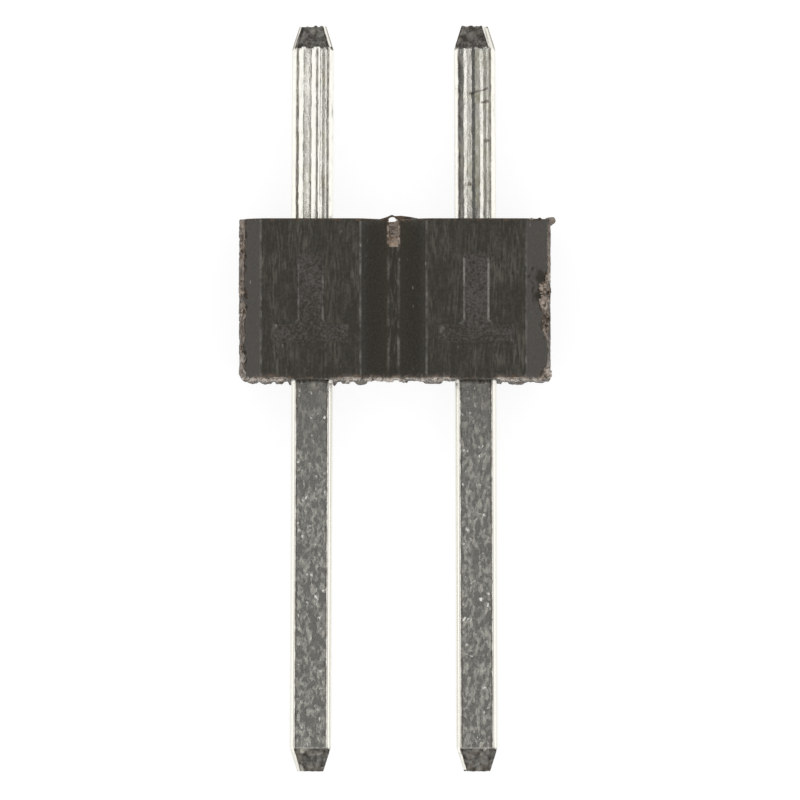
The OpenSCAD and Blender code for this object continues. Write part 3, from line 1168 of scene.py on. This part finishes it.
def add_burr(bm, s, marks):
    """Adds the thin burr that arches over the slot."""
    upper = [bm.verts.new((x, SEAT_Y + high, web_front(s))) for x, high, low in BURR]
    edges = [bm.edges.new(pair) for pair in zip(upper, upper[1:])]
    made = bmesh.ops.extrude_edge_only(bm, edges=edges)
    lower = sorted(new_verts(made), key=lambda vert: vert.co.x)
    for vert, (x, high, low) in zip(lower, BURR):
        vert.co.y = SEAT_Y + low
    bm.normal_update()
    skin = bmesh.ops.solidify(bm, geom=made_of(made, bmesh.types.BMFace), thickness=BURR_THICKNESS)
    shell = set(upper) | set(lower) | set(new_verts(skin))
    bmesh.ops.recalc_face_normals(bm, faces=[face for face in bm.faces if shell.issuperset(face.verts)])
    for vert in shell:
        vert[marks.torn] = 0.4 + 0.2 * rough(*vert.co, 0.05, 2.0)


def add_knob(bm, s, marks):
    """Adds the round burr on the right end's tail corner."""
    middle = Vector((right_break(s) + 0.45 * s.knob_r, SEAT_Y - 0.05 * s.knob_r, MID_Z + 0.4))
    made = bmesh.ops.create_icosphere(bm, subdivisions=3, radius=s.knob_r)
    for vert in made["verts"]:
        x, y, z = vert.co
        vert.co *= 0.9 + 0.1 * rough(x, y, z, 0.05)
        # Its inner side grows out of the corner
        if x < 0:
            vert.co.x *= 2.4
            vert.co.y *= 1.5 if y < 0 else 1.0
        vert.co += middle
        vert[marks.torn] = 0.7


def build_housing(s):
    """The housing's mesh: the moulded block, then its wear, then what hangs on it."""
    bm = housing_block(s)
    marks = add_marks(bm, HOUSING_MARKS)
    for axis, places in enumerate(cut_lines(s)):
        cut(bm, axis, places)
    open_web_slot(bm, s)
    open_pin_holes(bm, s)
    bmesh.ops.recalc_face_normals(bm, faces=bm.faces)
    bm.normal_update()
    wear_edges(bm, s, marks)
    sink_panels(bm, s, marks)
    tear_ends(bm, s, marks)
    wear_corner(bm, s, marks)
    hollow_right_end(bm, marks)
    roughen_mating_side(bm, s, marks)
    bmesh.ops.recalc_face_normals(bm, faces=bm.faces)
    add_crumbs(bm, marks)
    add_fluff(bm, s, marks)
    add_burr(bm, s, marks)
    add_knob(bm, s, marks)
    return bm


# Pins

# Bands drawn along a tail's front: where they start from its middle, then each one's width in
# millimetres, slope in degrees and dullness
TAIL_BANDS = {
    "left_pin": (-0.33, [
        (0.084, 31, 0), (0.031, 23, 0.85), (0.079, -31, 0), (0.0925, 29, 0.18), (0.022, -26.3, 0.4),
        (0.081, -31, 0), (0.023, 27.5, 0.35), (0.036, 31, 0), (0.0365, 29.5, 0.1), (0.033, -22.5, 0.75),
        (0.038, -29.3, 0.15), (0.024, -26.8, 0.35), (0.09, -31, 0),
    ]),
    "right_pin": (-0.332, [
        (0.073, 31, 0), (0.083, -9, 0.3), (0.0535, 29.2, 0.1), (0.07, -24.5, 0.26), (0.059, 9, 0.1),
        (0.065, 20, 0.7), (0.0605, -29.5, 0.1), (0.035, -21.5, 0.6), (0.0425, 27.8, 0.18),
        (0.0355, 22.7, 0.5), (0.09, -31, 0),
    ]),
}
# Width over which one band's dullness turns into the next one's, on each side of their line
BAND_SOFT = 0.003
# Height of the faint waves on the bands
WAVE_HEIGHT = 0.0006
# How uneven the bands along a pin's tail are, and how much steeper they get towards the housing
UNEVEN = {"left_pin": 0.06, "right_pin": 0.17}
STEEPER = {"left_pin": 0.0, "right_pin": 0.07}
# Width of the bright bevel at a tip's left and right front corners: 0 is a sharp corner
TIP_BEVELS = {
    ("left_pin", "tail"): (0.03, 0.048),
    ("right_pin", "tail"): (0.0, 0.09),
    ("left_pin", "post"): (0.055, 0.0),
    ("right_pin", "post"): (0.045, 0.0),
}
TIP_BEVEL_SLOPE = math.radians(40)
# How ragged a pin's ends are
RAGGED = {
    ("left_pin", "tail"): 0.05,
    ("right_pin", "tail"): 0.025,
    ("left_pin", "post"): 0.008,
    ("right_pin", "post"): 0.01,
}
# Width of the ragged rim round a blunt end
CAP_RIM = 0.025
# How far a pin leans along the row: place along the pin, shift
LEAN = {
    "left_pin": [(-5.755, -0.0145), (0.28, 0.0115), (2.735, 0.0128), (5.755, 0.027)],
    "right_pin": [(-5.755, 0.018), (5.755, -0.019)],
}
# Cuts along the broad front and back of a bar and along its narrow sides
BROAD_CUTS = 65
NARROW_CUTS = 7
# Distance between the rings of a bar on the post's tip, the post, the tail and the tail's tip
POST_TIP_STEP = 0.03
POST_STEP = 0.15
TAIL_STEP = 0.038
TAIL_TIP_STEP = 0.024
# How far inside the housing the bands along a tail begin
BANDS_INSIDE = 0.1


def band_lines(x, bands):
    """Corner points of the bands as (place, height), with the highest at 0, and as (place, dullness)."""
    height = 0.0
    heights = [(x, height)]
    dullness = []
    for width, slope, dull in bands:
        dullness += [(x + BAND_SOFT, dull), (x + width - BAND_SOFT, dull)]
        x += width
        height += width * math.tan(math.radians(slope))
        heights.append((x, height))
    top = max(height for x, height in heights)
    return [(x, height - top) for x, height in heights], dullness


def ring_places(s):
    """Places of a bar's rings along the pin, close together where it is shaped."""
    post_top = POST_END_Y + s.tip_len
    tail_start = SEAT_Y - BANDS_INSIDE
    tail_top = TAIL_END_Y - s.tip_len
    post_tip = spread([POST_END_Y, post_top], POST_TIP_STEP)
    post = spread([post_top, MATING_Y - 0.2, tail_start], POST_STEP)
    tail = spread([tail_start, tail_top], TAIL_STEP)
    tail_tip = spread([tail_top, TAIL_END_Y], TAIL_TIP_STEP)
    return post_tip[:-1] + post[:-1] + tail[:-1] + tail_tip


def pin_bar(s):
    """Rounded square bar from the post's end to the tail's end, with its two end faces."""
    half = PIN_W / 2
    bm = bmesh.new()
    square = ((-half, -half), (half, -half), (half, half), (-half, half))
    corners = [bm.verts.new((x, POST_END_Y, z)) for x, z in square]
    bm.faces.new(corners)
    bmesh.ops.bevel(
        bm, geom=corners, offset=s.corner_r, affect="VERTICES", segments=16, profile=0.5, material=-1
    )
    bmesh.ops.delete(bm, geom=bm.faces[:], context="FACES_ONLY")
    flats = [edge for edge in bm.edges if edge.calc_length() > s.corner_r]
    broad = [edge for edge in flats if abs(edge.verts[0].co.z - edge.verts[1].co.z) < TINY]
    narrow = [edge for edge in flats if edge not in broad]
    bmesh.ops.subdivide_edges(bm, edges=broad, cuts=BROAD_CUTS)
    bmesh.ops.subdivide_edges(bm, edges=narrow, cuts=NARROW_CUTS)
    first = bm.edges[:]
    last = first
    places = ring_places(s)
    for start, end in zip(places, places[1:]):
        made = bmesh.ops.extrude_edge_only(bm, edges=last)
        ring = set(new_verts(made))
        last = [edge for edge in made_of(made, bmesh.types.BMEdge) if ring.issuperset(edge.verts)]
        bmesh.ops.translate(bm, verts=list(ring), vec=(0, end - start, 0))
    caps = [bmesh.ops.edgeloop_fill(bm, edges=loop)["faces"][0] for loop in (first, last)]
    bmesh.ops.recalc_face_normals(bm, faces=bm.faces)
    return bm, caps


def band_place(name, wide, y, z):
    """Place across the bands, which wander a little along the tail."""
    seed = PIN_X[name]
    wander = 0.004 * rough(0, y, z, 0.3, seed) + 0.005 * rough(2 * wide, y, z, 0.12, seed)
    return (wide if z > 0 else -wide) + wander


def band_height(name, heights, place, wide, y, z):
    """Height of the bands at a place, uneven along the tail, and of the faint waves on them."""
    near_seat = 1 - ease(y, SEAT_Y + 0.9, SEAT_Y + 1.9)
    depth = 1 + STEEPER[name] * near_seat + UNEVEN[name] * rough(3 * place, 1.6 * y, z, 0.3, 8.0)
    wave = rough(wide, 0.12 * y, z, 0.05, PIN_X[name]) + rough(wide, 0.5 * y, z, 0.14, 2.0)
    return along(heights, place) * depth, WAVE_HEIGHT * wave


def shape_pin(bm, name, s):
    """Draws the bands along the tail and tapers both tips."""
    half = PIN_W / 2
    core = half - s.corner_r
    marks = add_marks(bm, PIN_MARKS)
    heights, dullness = band_lines(*TAIL_BANDS[name])
    for vert in bm.verts:
        x, y, z = vert.co
        end = "tail" if y > SEAT_Y else "post"
        to_end = TAIL_END_Y - y if end == "tail" else y - POST_END_Y
        taper = clamp(1 - to_end / s.tip_len)
        scale = 1 - taper * (1 - s.tip_w / PIN_W)
        cut_in = ease(taper, 0.0, 0.2)
        corner = Vector((abs(x) - core, abs(z) - core))
        if corner.x > 0 and corner.y > 0:
            # The taper's faces meet in corners, which then get their bevels
            corner *= 1 + cut_in * (s.corner_r / max(corner) - 1)
            x = math.copysign(core + corner.x, x)
            z = math.copysign(core + corner.y, z)
        wide = x * scale
        left_bevel, right_bevel = TIP_BEVELS[(name, end)]
        past_flat = abs(wide) - half * scale + (right_bevel if x > 0 else left_bevel)
        bevelled = half * scale - cut_in * max(0.0, past_flat) * math.tan(TIP_BEVEL_SLOPE)
        high = min(abs(z) * scale, bevelled)
        on_side = 1.0 if abs(z) < core else 0.0
        vert[marks.sheared] = ease(taper, 0.0, 0.06) * max(on_side, 1 - ease(past_flat, -0.004, 0.006))
        if end == "tail" and abs(z) > core:
            place = band_place(name, wide, y, z)
            flute, wave = band_height(name, heights, place, wide, y, z)
            flute *= ease(to_end, s.tip_len - 0.12, s.tip_len + 0.02)
            drawn = min(high, half + (flute + wave) * ease(y, SEAT_Y - BANDS_INSIDE, SEAT_Y))
            # The bands run on into the taper where they are deeper
            vert[marks.sheared] *= 1 - ease(high - drawn, 0.0, 0.004)
            high = drawn
            patchy = 1 + 0.35 * rough(wide, 0.6 * y, z, 0.1, 4.0) + 0.7 * rough(wide, y, z, 0.4, 6.0)
            vert[marks.dulled] = clamp(along(dullness, place) * patchy) * (1 - ease(taper, 0.0, 0.1))
        vert.co = (wide, y, math.copysign(high, z))
        vert[marks.across] = x


def finish_ends(bm, caps, name):
    """Sinks the blunt ends a little and leaves their rims ragged."""
    for cap, end, flat_y, out in zip(caps, ("post", "tail"), (POST_END_Y, TAIL_END_Y), (-1, 1)):
        ragged = RAGGED[(name, end)]
        for vert in cap.verts:
            x, y, z = vert.co
            vert.co.y -= out * ragged * max(0.0, 0.35 + 0.9 * rough(x, 0, z, 0.06, PIN_X[name]))
        bmesh.ops.inset_region(bm, faces=[cap], thickness=CAP_RIM, depth=0.0, use_even_offset=True)
        for vert in cap.verts:
            vert.co.y = flat_y - out * ragged


def build_pin(name, s):
    """One pin's mesh, leaning as it stands in the housing."""
    bm, caps = pin_bar(s)
    shape_pin(bm, name, s)
    finish_ends(bm, caps, name)
    for vert in bm.verts:
        vert.co.x += along(LEAN[name], vert.co.y)
    bmesh.ops.translate(bm, verts=bm.verts, vec=(PIN_X[name], 0, MID_Z))
    return bm


# Stage

# Half width of the floor and how far it lies below the part, in millimetres
FLOOR_HALF = 600
FLOOR_DROP = 0.01
# Width of the camera's sensor in millimetres, and its nearest sight in metres
SENSOR_W = 36.0
NEAREST = 0.01


def floor_material():
    """White floor that the camera sees as lit paper with a faint shadow, and the metal with a deeper one."""
    material, n, shader = new_material("White floor")
    tree = material.node_tree
    tree.nodes.remove(shader)
    light = n.add("LightPath").outputs
    mirrored = light["Is Glossy Ray"]
    seen = n.plus(light["Is Camera Ray"], mirrored, light["Is Transmission Ray"])
    paper = n.wire(n.add("BsdfDiffuse"), (0.8, 0.8, 0.8, 1.0))
    shaded = n.wire(n.add("BsdfDiffuse"), n.tint(mirrored, (0.2, 0.2, 0.2), (0.35, 0.35, 0.35)))
    glow = n.feed(n.add("Emission"), {"Strength": n.blend(mirrored, 0.88, 0.68)})["Emission"]
    both = n.wire(n.add("AddShader"), shaded, glow)
    floor = n.wire(n.add("MixShader"), seen, paper, both)
    n.put(floor, tree.nodes["Material Output"].inputs["Surface"])
    material.cycles.emission_sampling = "NONE"
    return material


def cosine(degrees):
    """Cosine of an angle in degrees."""
    return math.cos(math.radians(degrees))


def make_world(s):
    """Soft light from both sides of the row, dim beyond the pins' ends and dark round the top."""
    world = bpy.data.worlds.new("Studio")
    world.use_nodes = True
    n = Nodes(world.node_tree)
    x, y, z = n.axes(n.add("TexCoord").outputs["Generated"])
    flat = n.calc("SQRT", n.plus(n.times(x, x), n.times(y, y)))
    sideways = n.calc("DIVIDE", n.unsigned(x), n.most(flat, 0.001))
    round_about = n.rescale(sideways, 0.45, 0.8, s.end_light, s.side_light, "SMOOTHSTEP")
    # The angles are measured from straight above
    above = n.rescale(z, cosine(24), cosine(6), s.dark_ring, s.top_light, "SMOOTHSTEP")
    outside = n.rescale(z, cosine(40), cosine(58), 0.0, 1.0, "SMOOTHSTEP")
    level = n.blend(outside, above, round_about)
    is_camera = n.add("LightPath").outputs["Is Camera Ray"]
    background = world.node_tree.nodes["Background"]
    n.feed(background, {"Color": (1, 1, 1, 1), "Strength": n.blend(is_camera, level, 1.0)})
    # The lamp does the diffuse lighting, so that the grooves stay even
    world.cycles_visibility.diffuse = False
    bpy.context.scene.world = world


def make_floor():
    """White floor under the part."""
    bm = bmesh.new()
    bmesh.ops.create_grid(bm, x_segments=1, y_segments=1, size=FLOOR_HALF)
    bmesh.ops.translate(bm, verts=bm.verts, vec=(0, 0, -FLOOR_DROP))
    bmesh.ops.scale(bm, vec=(MM, MM, MM), verts=bm.verts)
    mesh = bpy.data.meshes.new("floor")
    bm.to_mesh(mesh)
    bm.free()
    mesh.materials.append(floor_material())
    floor = bpy.data.objects.new("floor", mesh)
    bpy.context.scene.collection.objects.link(floor)


def make_lamp(s):
    """Broad overhead lamp that lights the surfaces without showing in the metal."""
    light = bpy.data.lights.new("overhead", "AREA")
    light.shape = "DISK"
    light.size = s.lamp_w * MM
    light.energy = s.lamp_power
    lamp = bpy.data.objects.new("overhead", light)
    lamp.location = (0, 0, s.lamp_up * MM)
    lamp.visible_glossy = False
    lamp.visible_camera = False
    bpy.context.scene.collection.objects.link(lamp)


def make_camera(s):
    """Long lens above the header, leaning a little to the mating side."""
    lens = bpy.data.cameras.new("camera")
    lens.sensor_width = SENSOR_W
    lens.lens = s.lens
    lens.clip_start = NEAREST
    away = s.view_w * s.lens / SENSOR_W
    camera = bpy.data.objects.new("camera", lens)
    back = Vector((0, -math.sin(s.tilt), math.cos(s.tilt)))
    camera.location = (Vector((s.aim_x, s.aim_y, MID_Z)) + back * away) * MM
    camera.rotation_euler = (s.tilt, 0, 0)
    bpy.context.scene.collection.objects.link(camera)
    bpy.context.scene.camera = camera


# Operators and panel

# Angle from which an edge of the housing and of a pin is shown sharp
HOUSING_CREASE = math.radians(26)
PIN_CREASE = math.radians(14)


class PINHEADER_OT_housing(Operator):
    """Model the torn housing with its grooves, sunk panels, slot and flash"""

    bl_idname = "pin_header.housing"
    bl_label = "Housing"

    def execute(self, context):
        s = in_mm(context.scene.header_housing)
        piece = finished("housing", build_housing(s), plastic_material(s), HOUSING_CREASE)
        piece.modifiers.new("Flat faces", "WEIGHTED_NORMAL").keep_sharp = True
        return {"FINISHED"}


class PINHEADER_OT_pins(Operator):
    """Model the two tinned pins with drawn tails and tapered tips"""

    bl_idname = "pin_header.pins"
    bl_label = "Pins"

    def execute(self, context):
        s = in_mm(context.scene.header_pins)
        material = tin_material(s)
        for name in PIN_X:
            finished(name, build_pin(name, s), material, PIN_CREASE)
        return {"FINISHED"}


class PINHEADER_OT_stage(Operator):
    """Set up the white floor, the studio light and the camera"""

    bl_idname = "pin_header.stage"
    bl_label = "Stage"

    def execute(self, context):
        s = in_mm(context.scene.header_stage)
        make_floor()
        make_world(s)
        make_lamp(s)
        make_camera(s)
        context.scene.view_settings.view_transform = "Standard"
        return {"FINISHED"}


class PINHEADER_PT_sidebar(Panel):
    """Pieces of the pin header"""

    bl_label = "Pin Header"
    bl_idname = "PINHEADER_PT_sidebar"
    bl_space_type = "VIEW_3D"
    bl_region_type = "UI"
    bl_category = "Pin Header"

    def draw(self, context):
        for operator, group in OPERATORS.items():
            box = self.layout.box()
            box.operator(operator)
            settings = getattr(context.scene, group)
            for name in settings.__annotations__:
                box.prop(settings, name)


OPERATORS = {
    "pin_header.housing": "header_housing",
    "pin_header.pins": "header_pins",
    "pin_header.stage": "header_stage",
}
GROUPS = {"header_housing": HousingLook, "header_pins": PinLook, "header_stage": StageLook}
CLASSES = (
    *GROUPS.values(),
    PINHEADER_OT_housing,
    PINHEADER_OT_pins,
    PINHEADER_OT_stage,
    PINHEADER_PT_sidebar,
)


def register():
    """Adds the operators, the panel and the settings."""
    for cls in CLASSES:
        bpy.utils.register_class(cls)
    for name, group in GROUPS.items():
        setattr(bpy.types.Scene, name, PointerProperty(type=group))


def unregister():
    """Takes the settings, the panel and the operators away again."""
    for name in GROUPS:
        delattr(bpy.types.Scene, name)
    for cls in reversed(CLASSES):
        bpy.utils.unregister_class(cls)


def main():
    """Builds the header on its stage."""
    register()
    bpy.ops.pin_header.housing()
    bpy.ops.pin_header.pins()
    bpy.ops.pin_header.stage()


if __name__ == "__main__":
    main()
